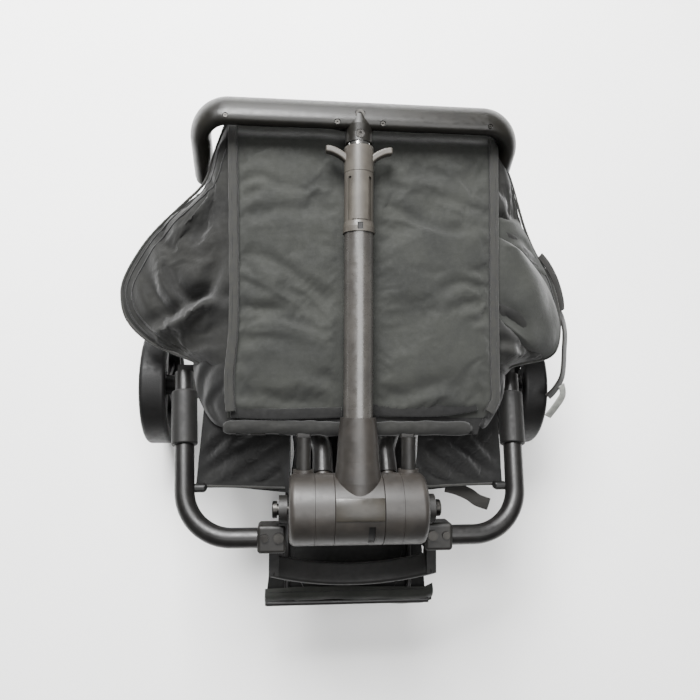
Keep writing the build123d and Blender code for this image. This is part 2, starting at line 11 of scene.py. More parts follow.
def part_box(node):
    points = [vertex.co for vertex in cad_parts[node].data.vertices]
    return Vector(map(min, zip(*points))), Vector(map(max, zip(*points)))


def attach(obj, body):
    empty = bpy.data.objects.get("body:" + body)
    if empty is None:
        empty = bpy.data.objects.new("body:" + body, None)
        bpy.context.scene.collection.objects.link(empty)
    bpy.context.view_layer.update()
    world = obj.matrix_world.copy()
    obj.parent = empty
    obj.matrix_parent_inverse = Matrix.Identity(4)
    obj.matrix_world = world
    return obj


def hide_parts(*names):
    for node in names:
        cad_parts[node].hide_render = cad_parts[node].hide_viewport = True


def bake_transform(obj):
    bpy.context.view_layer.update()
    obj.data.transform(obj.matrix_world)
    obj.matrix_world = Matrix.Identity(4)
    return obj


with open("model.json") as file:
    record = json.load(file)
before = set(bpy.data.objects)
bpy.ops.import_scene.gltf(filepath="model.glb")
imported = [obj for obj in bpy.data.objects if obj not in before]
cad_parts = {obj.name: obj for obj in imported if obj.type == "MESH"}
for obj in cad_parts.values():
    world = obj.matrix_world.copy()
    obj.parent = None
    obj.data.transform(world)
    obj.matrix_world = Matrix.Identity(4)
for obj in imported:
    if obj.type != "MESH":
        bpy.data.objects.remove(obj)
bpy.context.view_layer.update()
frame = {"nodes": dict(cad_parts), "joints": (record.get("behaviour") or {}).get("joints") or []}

# Hub coordinates: millimetres from the middle of the fold shaft. x is across, p points to the
# front casters of the folded stroller and h points up. at() turns them into the frame's metres.
HUB = Vector(next(joint["pos_m"] for joint in frame["joints"] if joint["name"] == "fold"))
MM = 0.001


def at(x, p, h):
    """A place in hub millimetres as a point in the frame."""
    return HUB + Vector((x, p, h)) * MM


# ------------------------------------------------------------------ materials
def colour(code):
    """Linear colour from an sRGB hex code."""
    parts = [int(code[i:i + 2], 16) / 255 for i in (1, 3, 5)]
    return [c / 12.92 if c <= 0.04045 else ((c + 0.055) / 1.055) ** 2.4 for c in parts] + [1.0]


def add(material, kind, inputs, **settings):
    """Add one node with its settings; each input is a constant or another node's output."""
    node = material.node_tree.nodes.new(kind)
    for name, value in settings.items():
        setattr(node, name, value)
    for name, value in inputs.items():
        if isinstance(value, bpy.types.NodeSocket):
            material.node_tree.links.new(value, node.inputs[name])
        else:
            node.inputs[name].default_value = value
    return node.outputs


def surface(name, dark, light, cloud_mm, rough, **constants):
    """A surface clouded between two colours over cloud_mm, with its roughness uneven from handling."""
    material = bpy.data.materials.new(name)
    material.use_nodes = True
    shader = material.node_tree.nodes["Principled BSDF"]
    for label, value in constants.items():
        shader.inputs[label.replace("_", " ")].default_value = value
    place = add(material, "ShaderNodeTexCoord", {})["Object"]
    clouds = {"Vector": place, "Scale": 1 / (cloud_mm * MM), "Detail": 5.0}
    cloud = add(material, "ShaderNodeTexNoise", clouds)[0]
    share = add(material, "ShaderNodeMapRange", {"Value": cloud, "From Min": 0.34, "From Max": 0.66})[0]
    tint = add(material, "ShaderNodeMix", {0: share, 6: colour(dark), 7: colour(light)}, data_type="RGBA")[2]
    material.node_tree.links.new(tint, shader.inputs["Base Color"])
    rub = add(material, "ShaderNodeTexNoise", {"Vector": place, "Scale": 1 / (6 * MM), "Detail": 4.0})[0]
    spread = {"Value": rub, "From Min": 0.3, "From Max": 0.7, "To Min": rough - 0.06, "To Max": rough + 0.07}
    material.node_tree.links.new(add(material, "ShaderNodeMapRange", spread)[0], shader.inputs["Roughness"])
    return material, shader, place


def relief(material, shader, height, depth_mm):
    """Raise a surface by a real depth, on top of any relief it has already."""
    inputs = {"Height": height, "Distance": depth_mm * MM, "Strength": 1.0}
    normal = shader.inputs["Normal"]
    if normal.is_linked:
        inputs["Normal"] = normal.links[0].from_socket
    material.node_tree.links.new(add(material, "ShaderNodeBump", inputs)["Normal"], normal)


def woven_polyester(name, dark, light):
    """Plain-woven polyester: matt with a faint sheen. The 0.5 mm weave is drawn 1.3 mm wide so that
    it shows, with slubs and a slack, slightly puckered face."""
    material, shader, place = surface(
        name, dark, light, 45, 0.82, Sheen_Weight=0.22, Sheen_Roughness=0.45, Specular_IOR_Level=0.22
    )
    thread = {"Vector": place, "Scale": 0.314 / (1.3 * MM), "Distortion": 1.2, "Detail": 1.0}
    for direction in ("X", "Y"):
        wave = add(material, "ShaderNodeTexWave", dict(thread), bands_direction=direction)["Fac"]
        relief(material, shader, wave, 0.07)
    for size_mm, depth_mm in ((2.4, 0.12), (14, 0.7)):
        slub = {"Vector": place, "Scale": 1 / (size_mm * MM), "Detail": 3.0}
        relief(material, shader, add(material, "ShaderNodeTexNoise", slub)[0], depth_mm)
    return material


def woven_tape(name, dark, light, rib_mm=1.6):
    """Narrow polyester webbing: ribs across its length and a dry, slightly hairy face."""
    material, shader, place = surface(name, dark, light, 6, 0.78, Sheen_Weight=0.15, Specular_IOR_Level=0.25)
    for direction, pitch in (("Y", rib_mm), ("X", rib_mm * 0.8)):
        rib = {"Vector": place, "Scale": 0.314 / (pitch * MM), "Distortion": 0.5}
        wave = add(material, "ShaderNodeTexWave", rib, bands_direction=direction)["Fac"]
        relief(material, shader, wave, 0.12)
    return material


def powder_coated_steel(name, dark, light, rough, shine=0.3):
    """Black polyester powder coat on steel tube: satin, with a fine orange peel and dust."""
    material, shader, place = surface(name, dark, light, 28, rough, Specular_IOR_Level=shine)
    peel = add(material, "ShaderNodeTexNoise", {"Vector": place, "Scale": 1 / (1.4 * MM), "Detail": 2.0})[0]
    relief(material, shader, peel, 0.02)
    return material


def moulded_nylon(name, dark, light, rough, grain_mm=0.9, grain_depth_mm=0.05):
    """Glass-filled nylon from a spark-eroded mould: dark grey-black, grained, rubbed a little smoother."""
    material, shader, place = surface(name, dark, light, 20, rough, Specular_IOR_Level=0.28)
    grain = {"Vector": place, "Scale": 1 / (grain_mm * MM), "Detail": 2.0}
    relief(material, shader, add(material, "ShaderNodeTexNoise", grain)[0], grain_depth_mm)
    return material


def plated_steel(name, dark, light, rough, lines):
    """Plated steel: clear metal reflections, drawn out along the lines left by polishing."""
    material, shader, place = surface(name, dark, light, 12, rough, Metallic=1.0)
    turned = add(material, "ShaderNodeMapping", {"Vector": place, "Scale": lines})[0]
    line = add(material, "ShaderNodeTexNoise", {"Vector": turned, "Scale": 1 / (1.2 * MM), "Detail": 3.0})[0]
    relief(material, shader, line, 0.02)
    return material


def foam_rubber(name, dark, light):
    """Closed-cell EVA tyre: matt black skin with a soft shine where it is rubbed, and small pores."""
    material, shader, place = surface(name, dark, light, 16, 0.5, Specular_IOR_Level=0.25)
    pore = add(material, "ShaderNodeTexVoronoi", {"Vector": place, "Scale": 1 / (1.6 * MM)})["Distance"]
    relief(material, shader, pore, 0.05)
    return material


PANEL_CLOTH = woven_polyester("grey_polyester_weave", "#1b1c1a", "#232421")
# Painted shade: the panel's grey polyester made darker for the drooping wings, the rod sleeve and the cabin
# tuck.
PAINTED_SHADE_CLOTH = woven_polyester("grey_polyester_weave_painted_shade", "#0e0e0d", "#141412")
DARK_CLOTH = woven_polyester("black_polyester_weave", "#080808", "#0c0c0b")
BINDING = woven_tape("polyester_binding_tape", "#181817", "#21211e", 1.2)
STRAP_TAPE = woven_tape("black_webbing", "#100f0d", "#191715")
GREY_TAPE = woven_tape("grey_webbing", "#5f605c", "#777873")
THREAD = woven_tape("sewing_thread", "#060606", "#0b0b0a", 0.8)
TUBE_COAT = powder_coated_steel("satin_black_powder_coat", "#0b0a0a", "#100f0e", 0.38)
# Painted light: the frame's black powder coat made lighter on the post, which faces the lamps.
POST_COAT_PAINTED_LIGHT = powder_coated_steel("post_powder_coat_painted_light", "#2a2826", "#363431", 0.3, 0.8)
# Painted light: the frame's black powder coat made lighter on the knuckle drum and its rings.
KNUCKLE_COAT_PAINTED_LIGHT = powder_coated_steel("knuckle_powder_coat_painted_light", "#1d1b19", "#272421", 0.42, 0.35)
NYLON = moulded_nylon("black_moulded_nylon", "#0f0e0d", "#161513", 0.48)
# Painted shade: the black nylon made darker on the rear sleeves and the yoke.
SLEEVE_NYLON_PAINTED_SHADE = moulded_nylon("black_moulded_nylon_painted_shade", "#080807", "#0d0c0b", 0.6)
GRIP_SKIN = moulded_nylon("satin_grip_moulding", "#100f0d", "#161512", 0.36, 1.4, 0.03)
# Painted light: the black nylon made lighter on the collar, its plate and the trigger.
COLLAR_NYLON_PAINTED_LIGHT = moulded_nylon("collar_moulded_nylon_painted_light", "#34312d", "#423f3a", 0.4)
HIDDEN_BLACK = moulded_nylon("dark_insert_moulding", "#050505", "#0b0b0a", 0.5)
PLATE = moulded_nylon("plain_label_film", "#1f1d19", "#282520", 0.34, 2.4, 0.02)
CHROME = plated_steel("chromed_steel", "#a2a19e", "#bdbcb8", 0.16, (1.0, 0.05, 1.0))
ZINC = plated_steel("zinc_plated_steel", "#4c4b48", "#67665f", 0.34, (0.1, 1.0, 1.0))
BLACK_ZINC = plated_steel("black_zinc_plated_steel", "#242322", "#353432", 0.34, (0.1, 1.0, 1.0))
BLACK_WIRE = powder_coated_steel("black_coated_wire", "#0c0b0b", "#121110", 0.4)
FOAM = foam_rubber("eva_foam_tyre", "#080808", "#0c0b0b")
RIM = moulded_nylon("rim_moulded_nylon", "#090808", "#0d0c0c", 0.5)
SHEET = moulded_nylon("polypropylene_sheet", "#080808", "#0c0c0b", 0.5, 3.0, 0.05)

FINISHES = {
    TUBE_COAT: ("front_leg_left", "front_leg_right", "front_cross_tube", "rear_tube_left", "rear_tube_right",
                "caster_fork_left", "caster_fork_right"),
    POST_COAT_PAINTED_LIGHT: ("post_tube",),
    KNUCKLE_COAT_PAINTED_LIGHT: ("hub_drum", "back_hub_rings", "front_hub_rings"),
    CHROME: ("inner_tube",),
    ZINC: ("link_shaft", "rear_axles", "caster_axle_left", "caster_axle_right", "seat_links",
           "canopy_bow_front", "canopy_bow_middle"),
    BLACK_ZINC: ("hub_shaft", "fitting_bolts", "handle_screws"),
    BLACK_WIRE: ("basket_rail", "back_rod"),
    NYLON: ("caster_housings", "rear_fittings", "rear_brackets", "brake_pedal_left", "brake_pedal_right",
            "canopy_pivots", "seat_hinges", "back_links"),
    SLEEVE_NYLON_PAINTED_SHADE: ("rear_sleeves", "rear_yoke"),
    COLLAR_NYLON_PAINTED_LIGHT: ("collar_body", "collar_plate", "trigger"),
    GRIP_SKIN: ("handle_bar", "handle_corners", "handle_neck"),
    HIDDEN_BLACK: ("fold_latch", "handle_end_caps"),
    SHEET: ("back_board", "seat_board"),
    FOAM: ("front_tyre_left", "front_tyre_right", "rear_tyre_left", "rear_tyre_right"),
    RIM: ("front_rim_left", "front_rim_right", "rear_rim_left", "rear_rim_right"),
}


def finish_cad_nodes():
    """Give every carried CAD node its finish; the post, knuckle, collar and rear sleeve finishes carry painted
    light or shade.
    """
    for material, names in FINISHES.items():
        for name in names:
            slots = frame["nodes"][name].data.materials
            slots.clear()
            slots.append(material)


# ------------------------------------------------------------------ modelling helpers
def only(*pieces):
    """Select just these pieces, the last one active."""
    if bpy.context.object and bpy.context.object.mode != "OBJECT":
        bpy.ops.object.mode_set(mode="OBJECT")
    bpy.ops.object.select_all(action="DESELECT")
    for piece in pieces:
        piece.select_set(True)
        bpy.context.view_layer.objects.active = piece


def named(name, material):
    """Name the piece just added, give it its material and put its place into its mesh."""
    piece = bpy.context.object
    piece.name = name
    piece.data.name = name
    piece.data.materials.clear()
    piece.data.materials.append(material)
    only(piece)
    bpy.ops.object.transform_apply(location=True, rotation=True, scale=True)
    return piece


def modify(piece, kind, **settings):
    """Add one modifier and apply it."""
    modifier = piece.modifiers.new(kind.lower(), kind)
    for name, value in settings.items():
        setattr(modifier, name, value)
    only(piece)
    bpy.ops.object.modifier_apply(modifier=modifier.name)


def thicken(piece, millimetres, offset=-1.0):
    modify(piece, "SOLIDIFY", thickness=millimetres * MM, offset=offset)


def smooth(piece, degrees=50):
    only(piece)
    bpy.ops.object.shade_smooth_by_angle(angle=math.radians(degrees))


def smooth_line(points, count):
    """Evenly counted points along a smooth line that passes through the given ones."""
    points = [Vector(point) for point in points]
    line = []
    for step in range(count):
        place = step / (count - 1) * (len(points) - 1)
        index = min(int(place), len(points) - 2)
        t = place - index
        start, end = points[index], points[index + 1]
        before, after = points[max(index - 1, 0)], points[min(index + 2, len(points) - 1)]
        line.append(
            0.5 * (2 * start + (end - before) * t + (2 * before - 5 * start + 4 * end - after) * t * t
                   + (3 * start - before - 3 * end + after) * t ** 3)
        )
    return line


def cloth(name, material, columns, rows, shape):
    """A grid of cloth. shape(u, v) says where each corner of the weave goes, in hub millimetres."""
    only()
    bpy.ops.mesh.primitive_grid_add(x_subdivisions=columns, y_subdivisions=rows, size=1)
    piece = named(name, material)
    flat = np.empty(len(piece.data.vertices) * 3)
    piece.data.vertices.foreach_get("co", flat)
    flat = flat.reshape(-1, 3)
    places = np.stack(np.broadcast_arrays(*shape(flat[:, 0] + 0.5, flat[:, 1] + 0.5)), axis=1)
    piece.data.vertices.foreach_set("co", (places * MM + np.array(HUB)).ravel())
    mesh = bmesh.new()
    mesh.from_mesh(piece.data)
    bmesh.ops.remove_doubles(mesh, verts=mesh.verts, dist=0.02 * MM)
    bmesh.ops.recalc_face_normals(mesh, faces=mesh.faces)
    mesh.to_mesh(piece.data)
    mesh.free()
    return piece


def ripple(x, p, size_mm, height_mm):
    """Small irregular unevenness of slack cloth."""
    total = 0
    for number in range(7):
        angle = 2.4 * number + 0.3
        wave = size_mm * (1 + 0.37 * (number % 4))
        along = x * math.cos(angle) + p * math.sin(angle)
        total = total + np.sin(along * 2 * math.pi / wave + 1.7 * number)
    return total * height_mm / 4


def fold_height(x, p, folds):
    """Height of soft folds. Each follows a smooth line of points and has a width and a depth: a valley
    on the line and a ridge beside it, towards the hub."""
    height = np.zeros(len(x))
    for points, width, depth in folds:
        line = np.array([(q.x, q.y) for q in smooth_line([(a, b, 0) for a, b in points], 30)])
        tangent = np.gradient(line, axis=0)
        tangent /= np.linalg.norm(tangent, axis=1)[:, None]
        away_x, away_p = x[:, None] - line[:, 0], p[:, None] - line[:, 1]
        near = np.argmin(away_x ** 2 + away_p ** 2, axis=1)
        every = np.arange(len(x))
        away_x, away_p = away_x[every, near], away_p[every, near]
        side = (away_x * tangent[near, 1] - away_p * tangent[near, 0]) / width
        past_end = np.maximum(0, (away_x ** 2 + away_p ** 2) / width ** 2 - side ** 2)
        fade = np.sin(np.pi * np.clip(near / 29, 0.06, 0.94)) ** 0.7 * np.exp(-past_end)
        height += depth * fade * (0.8 * np.exp(-(side - 1.7) ** 2) - np.exp(-side ** 2))
    return height


def drape(name, material, lines, bulges, columns, rows, folds=(), slack=1.4):
    """Cloth hung from line to line, bulging between them, with folds on its first span."""
    rails = [np.array([tuple(q) for q in smooth_line(line, 81)]) for line in lines]
    spans = len(rails) - 1

    def shape(u, v):
        span = np.minimum((v * spans).astype(int), spans - 1)
        t = v * spans - span
        low = np.clip((u * 80).astype(int), 0, 79)
        part = (u * 80 - low)[:, None]
        rungs = np.stack([rail[low] * (1 - part) + rail[low + 1] * part for rail in rails])
        every = np.arange(len(u))
        place = rungs[span, every] * (1 - t)[:, None] + rungs[span + 1, every] * t[:, None]
        x, p, h = place.T
        ends = np.minimum(1, np.minimum(u, 1 - u) * 9)
        rim = np.minimum(1, (1 - t) * 5) * ends
        h = h + np.array(bulges)[span] * np.sin(np.pi * t) * ends + ripple(x, p, 34, slack) * rim
        return x, p, h + np.where(span == 0, fold_height(x, p, folds) * rim, 0)

    return cloth(name, material, columns, rows, shape)


def settle(piece, loose, grow, pressure, frames, limit_mm):
    """Let slack cloth find its own small wrinkles. loose(x, p) says which corners are free, in hub
    millimetres; grow is the spare cloth and no corner moves by more than limit_mm."""
    home = [vertex.co.copy() for vertex in piece.data.vertices]
    held = piece.vertex_groups.new(name="held")
    for vertex in piece.data.vertices:
        local = (vertex.co - HUB) / MM
        held.add([vertex.index], 0.0 if loose(local.x, local.y) else 1.0, "REPLACE")
    modifier = piece.modifiers.new("cloth", "CLOTH")
    settings = modifier.settings
    settings.quality = 5
    settings.mass = 0.12
    settings.tension_stiffness = 18
    settings.compression_stiffness = 10
    settings.shear_stiffness = 5
    settings.bending_stiffness = 0.25
    settings.use_pressure = True
    settings.uniform_pressure_force = pressure
    settings.shrink_min = -grow
    settings.vertex_group_mass = "held"
    settings.effector_weights.gravity = 0
    modifier.point_cache.frame_start = 1
    modifier.point_cache.frame_end = frames
    for number in range(1, frames + 1):
        bpy.context.scene.frame_set(number)
    only(piece)
    bpy.ops.object.modifier_apply(modifier=modifier.name)
    bpy.context.scene.frame_set(1)
    for vertex, rest in zip(piece.data.vertices, home):
        move = vertex.co - rest
        if move.length > limit_mm * MM:
            vertex.co = rest + move.normalized() * limit_mm * MM
    piece.vertex_groups.clear()


def sewn_line(name, material, points, radius_mm):
    """A seam, piping or stitch line: a thin round cord along a few points."""
    curve = bpy.data.curves.new(name, "CURVE")
    curve.dimensions = "3D"
    curve.bevel_depth = radius_mm * MM
    curve.bevel_resolution = 2
    curve.use_fill_caps = True
    spline = curve.splines.new("NURBS")
    spline.points.add(len(points) - 1)
    for control, point in zip(spline.points, points):
        control.co = (*point, 1)
    spline.order_u = 3
    spline.use_endpoint_u = True
    holder = bpy.data.objects.new(name, curve)
    bpy.context.collection.objects.link(holder)
    only(holder)
    bpy.ops.object.convert(target="MESH")
    piece = named(name, material)
    smooth(piece, 60)
    return piece


def tape(name, material, points, width_mm, thick_mm, facing=(0, 0, 1)):
    """Flat tape along a smooth line of hub points, its broad side turned to facing."""
    line = np.array([tuple(q) for q in smooth_line(points, 9 * len(points))])
    tangent = np.gradient(line, axis=0)
    across = np.cross(tangent, np.array(facing))
    across /= np.linalg.norm(across, axis=1)[:, None]

    def shape(u, v):
        index = np.clip(np.round(u * (len(line) - 1)).astype(int), 0, len(line) - 1)
        x, p, h = (line[index] + across[index] * (width_mm * (v - 0.5))[:, None]).T
        return x, p, h + thick_mm * 0.3 * np.sin(np.pi * v) + ripple(x, p, 21, 0.25)

    piece = cloth(name, material, len(line) - 1, 6, shape)
    thicken(piece, thick_mm, 0.0)
    modify(piece, "SUBSURF", levels=1, render_levels=1)
    smooth(piece, 60)
    return piece


def dropped(piece, points, lift_mm):
    """Hub points let down on to the upper side of a piece and lifted a little, in the frame."""
    bpy.context.view_layer.update()
    tree = BVHTree.FromObject(piece, bpy.context.evaluated_depsgraph_get())
    landed = []
    for x, p in points:
        hit = tree.ray_cast(at(x, p, 60), Vector((0, 0, -1)))[0]
        if hit:
            landed.append(hit + Vector((0, 0, lift_mm * MM)))
    return landed


def placed(body, slot, *pieces):
    """Let pieces ride on a body. The slot is not used."""
    for piece in pieces:
        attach(piece, body)


# ------------------------------------------------------------------ back panel
PANEL_FOLDS = (
    (((-136, 356), (-112, 366), (-88, 358)), 6, 3.4), (((-132, 344), (-100, 354), (-60, 354)), 7, 2.6),
    (((-132, 318), (-90, 328), (-40, 326)), 8, 1.8),
    (((-132, 272), (-108, 276), (-70, 256), (-24, 218)), 8, 4.4),
    (((-132, 268), (-96, 258), (-58, 232)), 6, 2.6), (((-134, 217), (-104, 216), (-70, 216)), 8, 4.2),
    (((-134, 201), (-80, 205), (-38, 192)), 6, 4.6), (((-134, 180), (-100, 184), (-76, 178)), 7, 1.6),
    (((24, 344), (70, 322), (108, 310), (140, 318)), 8, 3.8), (((80, 356), (112, 344), (148, 334)), 8, 3.4),
    (((70, 378), (100, 372), (140, 352)), 10, 2.2), (((92, 238), (118, 250), (148, 246)), 7, 3.6),
    (((126, 266), (148, 262)), 5, 2.2), (((112, 224), (148, 230)), 6, 2.4),
    (((128, 206), (150, 210)), 5, 2.0),
    (((-130, 128), (-80, 116), (-20, 116)), 10, 4.4), (((22, 118), (70, 128), (120, 144)), 10, 4.6),
    (((-60, 150), (-30, 138), (-20, 120)), 10, 2.4), (((-46, 372), (-26, 356), (-24, 320)), 10, 3.0),
    (((28, 372), (40, 350), (30, 300)), 10, 2.6),
)
PANEL_FOOT = 97.0
PANEL_HEAD = 437.0


def panel_edges(t):
    """Left and right edge of the panel, t from its foot at 0 to its head at 1."""
    left = -141 - 4 * np.exp(-((t - 0.12) / 0.1) ** 2) - 10 * np.clip(t - 0.4, 0, 1) ** 1.2
    right = 163 + 3 * np.clip(t - 0.4, 0, 1) - 16 * np.clip(1 - t / 0.07, 0, 1) ** 2
    return left, right


def head_drop(p):
    """How far the panel's head dips, in millimetres, to pass under the grip."""
    return -13 / (1 + np.exp((421 - p) / 3.5))


def back_panel():
    """Padded back panel: slack polyester over thin foam, wrinkled where the fold slackens it."""

    def shape(u, v):
        left, right = panel_edges(v)
        x = left + (right - left) * u
        p = PANEL_FOOT + (PANEL_HEAD - PANEL_FOOT) * v
        edge = np.minimum(np.minimum(u, 1 - u) * 2, np.minimum(v * 1.3, 1 - v))
        foot_drop = -5 * np.exp(-((p - PANEL_FOOT) / 12) ** 2)
        lift = 5.5 * (1 - np.exp(-edge * 7)) + foot_drop + head_drop(p)
        folds = fold_height(x, p, PANEL_FOLDS) * np.minimum(1, edge * 20 + 0.25)
        under_post = 4.5 * np.exp(-(x / 17) ** 2)
        top = -14.5 + lift - under_post + folds + ripple(x, p, 60, 0.9)
        return x, p, np.minimum(top, -8.6 + 0.05 * folds)

    piece = cloth("back_panel", PANEL_CLOTH, 120, 120, shape)
    settle(piece, lambda x, p: abs(x) > 24 and -132 < x < 152 and 108 < p < 402, 0.03, 0.15, 14, 3.5)
    thicken(piece, 7.5)
    smooth(piece, 80)
    placed("post", "grey_polyester", piece)
    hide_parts("back_pad")
    return piece


def panel_trim():
    """Binding along the panel's edges with its stitch lines, and the lining and hems at its foot."""
    steps = np.linspace(0.02, 0.985, 26)
    left, right = panel_edges(steps)
    rows = PANEL_FOOT + (PANEL_HEAD - PANEL_FOOT) * steps
    drop = head_drop(rows)
    for side, edge, inset in (("left", left, 1), ("right", right, -1)):
        line = [(x + inset * 4.5, p, -10.2 + d) for x, p, d in zip(edge, rows, drop)]
        placed("post", "grey_polyester", tape(f"panel_binding_{side}", BINDING, line, 10, 2.2))
        for number, gap in enumerate((10.4, 3.4)):
            stitch = [at(x + inset * gap, p, -8.9 + d) for x, p, d in zip(edge, rows, drop)]
            thread = sewn_line(f"panel_stitch_{side}_{number + 1}", THREAD, stitch, 0.45)
            placed("post", "dark_webbing", thread)
    head = [(-148, 435, -27), (-70, 435, -27), (0, 435, -28), (80, 435, -27), (164, 435, -27)]
    placed("post", "grey_polyester", tape("panel_binding_top", BINDING, head, 8, 2.0))
    lining = drape(
        "panel_lining", DARK_CLOTH,
        (((-146, 118, -20), (0, 116, -20), (154, 122, -20)),
         ((-142, 82, -20.5), (0, 78, -20.5), (140, 78, -20.5))),
        (1,), 70, 12, (), 0.8,
    )
    thicken(lining, 0.8)
    smooth(lining, 80)
    placed("post", "grey_polyester", lining)
    foot = [(-138, 103, -15), (-90, 101, -14), (-50, 102, -15), (-16, 103, -17)]
    placed("post", "grey_polyester", tape("panel_foot_hem_left", DARK_CLOTH, foot, 12, 2.0))
    foot = [(16, 106, -17), (60, 105, -14), (100, 106, -14), (138, 112, -15)]
    placed("post", "grey_polyester", tape("panel_foot_hem_right", DARK_CLOTH, foot, 14, 2.0))


def rod_sleeve():
    """Cloth channel gathered round the cross rod at the panel's foot."""

    def shape(u, v):
        x = -146 + 276 * u
        angle = 2 * np.pi * v
        radius = 8.1 + 0.35 * np.sin(u * 61 + 2 * np.sin(u * 17)) + 0.3 * np.sin(3 * angle + u * 40)
        radius = radius * (1 - 0.5 * np.exp(-u * 60) - 0.3 * np.exp(-(1 - u) * 60))
        p = 86 - 1.6 * u + 0.7 * np.sin(u * 9)
        return x, p + radius * np.cos(angle), -18 + radius * np.sin(angle)

    # Painted shade: the rod sleeve takes the darker copy of the panel's grey cloth.
    piece = cloth("rod_sleeve", PAINTED_SHADE_CLOTH, 150, 24, shape)
    placed("post", "grey_polyester", piece)
    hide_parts("back_rod")
    thicken(piece, 0.8)
    smooth(piece, 80)


# ------------------------------------------------------------------ cabin walls, folded into wings
LEFT_ROOT = (
    (-143, 432, -29), (-144, 404, -19), (-143, 350, -17), (-140, 300, -16.5), (-138, 240, -16.5),
    (-139, 190, -17), (-142, 150, -20),
)
LEFT_EDGE = (
    (-150, 434, -31), (-162, 400, -32), (-173, 366, -37), (-198, 341, -42), (-236, 303, -48),
    (-262, 259, -50), (-266, 232, -50), (-258, 205, -50), (-232, 181, -50), (-190, 163, -46), (-151, 148, -32),
)
LEFT_UNDER = ((-124, 426, -48), (-122, 330, -86), (-121, 260, -84), (-121, 200, -74), (-123, 150, -60))
LEFT_FOLDS = (
    (((-210, 286), (-200, 248), (-182, 232), (-164, 246), (-152, 284)), 9, 9.0),
    (((-240, 202), (-206, 214), (-176, 234), (-146, 232)), 8, 12.0),
    (((-238, 262), (-222, 232), (-196, 212)), 9, 4.0), (((-156, 338), (-176, 306), (-186, 270)), 12, 7.0),
    (((-226, 186), (-190, 176), (-160, 180)), 8, 5.0), (((-150, 200), (-170, 190), (-196, 190)), 7, 3.5),
    (((-162, 384), (-166, 366), (-160, 350)), 6, 3.0),
)
RIGHT_ROOT = (
    (160, 432, -29), (161, 404, -19), (161, 350, -17), (160, 300, -16.5), (159, 240, -16.5), (158, 190, -17),
    (154, 150, -20),
)
RIGHT_EDGE = (
    (166, 434, -31), (177, 402, -30), (187, 380, -33), (196, 352, -36), (205, 326, -40), (216, 303, -44),
    (228, 283, -47), (243, 260, -50), (252, 222, -51), (250, 186, -50), (236, 168, -48), (198, 160, -44),
    (162, 148, -32),
)
RIGHT_UNDER = ((124, 426, -48), (122, 330, -86), (121, 260, -84), (121, 200, -74), (123, 150, -60))
RIGHT_FOLDS = (
    (((168, 372), (184, 346), (196, 330)), 7, 5.0), (((166, 330), (186, 322), (202, 318)), 6, 5.0),
    (((166, 214), (186, 200), (210, 170)), 8, 9.0), (((166, 190), (186, 182), (198, 168)), 7, 6.0),
)


def with_cabin(slot, *pieces):
    """Pieces of the cabin wall, which reaches from the back panel down to the seat: their places are put into
    their meshes.
    """
    for piece in pieces:
        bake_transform(piece)


def cabin_wing(side, root, edge, under, folds, seams):
    """One side wall of the cabin, folded flat: out from the panel, round its piped edge and back under."""
    sign = 1 if edge[0][0] > 0 else -1
    # Painted shade: each wing takes the darker copy of the panel's grey cloth.
    piece = drape(f"cabin_wing_{side}", PAINTED_SHADE_CLOTH, (root, edge, under), (9, -5), 110, 96, folds, 1.8)
    settle(piece, lambda x, p: sign * x > 160 and 168 < p < 372 and sign * x < 226, 0.05, 0.1, 14, 4)
    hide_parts(f"wing_{side}")
    thicken(piece, 1.0)
    smooth(piece, 80)
    outline = [(q.x, q.y) for q in smooth_line(edge, 120)]
    trim = []
    for number, inset in enumerate(seams):
        line = [(x - sign * inset * 0.8, p - 0.4 * inset * np.sign(p - 235)) for x, p in outline[9:-24]]
        landed = dropped(piece, [(x, p) for x, p in line if sign * x > abs(root[0][0]) + 4], 0.3)
        trim.append(sewn_line(f"wing_seam_{side}_{number + 1}", THREAD, landed, 0.9))
    rim = [at(x + sign * 0.5, p, h + 0.5) for x, p, h in [tuple(q) for q in smooth_line(edge, 26)]]
    trim.append(sewn_line(f"wing_piping_{side}", BINDING, rim, 1.7))
    with_cabin("grey_polyester", piece, *trim)
    return piece


def right_layers():
    """Slack layers over the right wing: a flap, the full lower lobe and a ribbed tie strip."""
    flap = drape(
        "cabin_flap", PANEL_CLOTH,
        (((165, 330, -17), (165, 300, -16), (165, 272, -17)),
         ((196, 333, -34), (212, 308, -38), (224, 288, -42), (236, 268, -44))),
        (6,), 40, 26, ((((170, 300), (196, 306), (214, 292)), 6, 2.5),), 1.0,
    )
    lobe = drape(
        "cabin_lobe", PANEL_CLOTH,
        (((165, 306, -14), (165, 270, -13), (165, 230, -15), (165, 206, -22)),
         ((186, 300, -24), (212, 280, -32), (236, 250, -40), (249, 214, -42), (248, 184, -44),
          (232, 168, -44), (206, 170, -42)),
         ((186, 292, -34), (206, 272, -40), (226, 246, -46), (236, 214, -48), (236, 190, -48),
          (222, 178, -47), (204, 178, -45))),
        (13, 0), 70, 44,
        ((((176, 216), (204, 206), (236, 204)), 12, 2.5),
         (((170, 226), (186, 208), (206, 182)), 9, 5.0)), 1.6,
    )
    # Painted shade: the tuck takes the darker copy of the panel's grey cloth.
    tuck = drape(
        "cabin_tuck", PAINTED_SHADE_CLOTH,
        (((163, 204, -24), (163, 180, -24), (163, 152, -26)),
         ((204, 176, -44), (196, 162, -46), (182, 146, -46))),
        (7,), 30, 24, ((((170, 190), (186, 178), (196, 166)), 6, 4.0),), 1.4,
    )
    for piece in (flap, lobe, tuck):
        thicken(piece, 1.2)
        smooth(piece, 80)
    strip = tape(
        "cabin_tie_strip", STRAP_TAPE,
        [(226, 292, -43), (237, 280, -45), (249, 260, -50), (258, 240, -58), (262, 228, -66)],
        10, 1.8, (0.3, 0, 1),
    )
    with_cabin("grey_polyester", flap, lobe, tuck, strip)


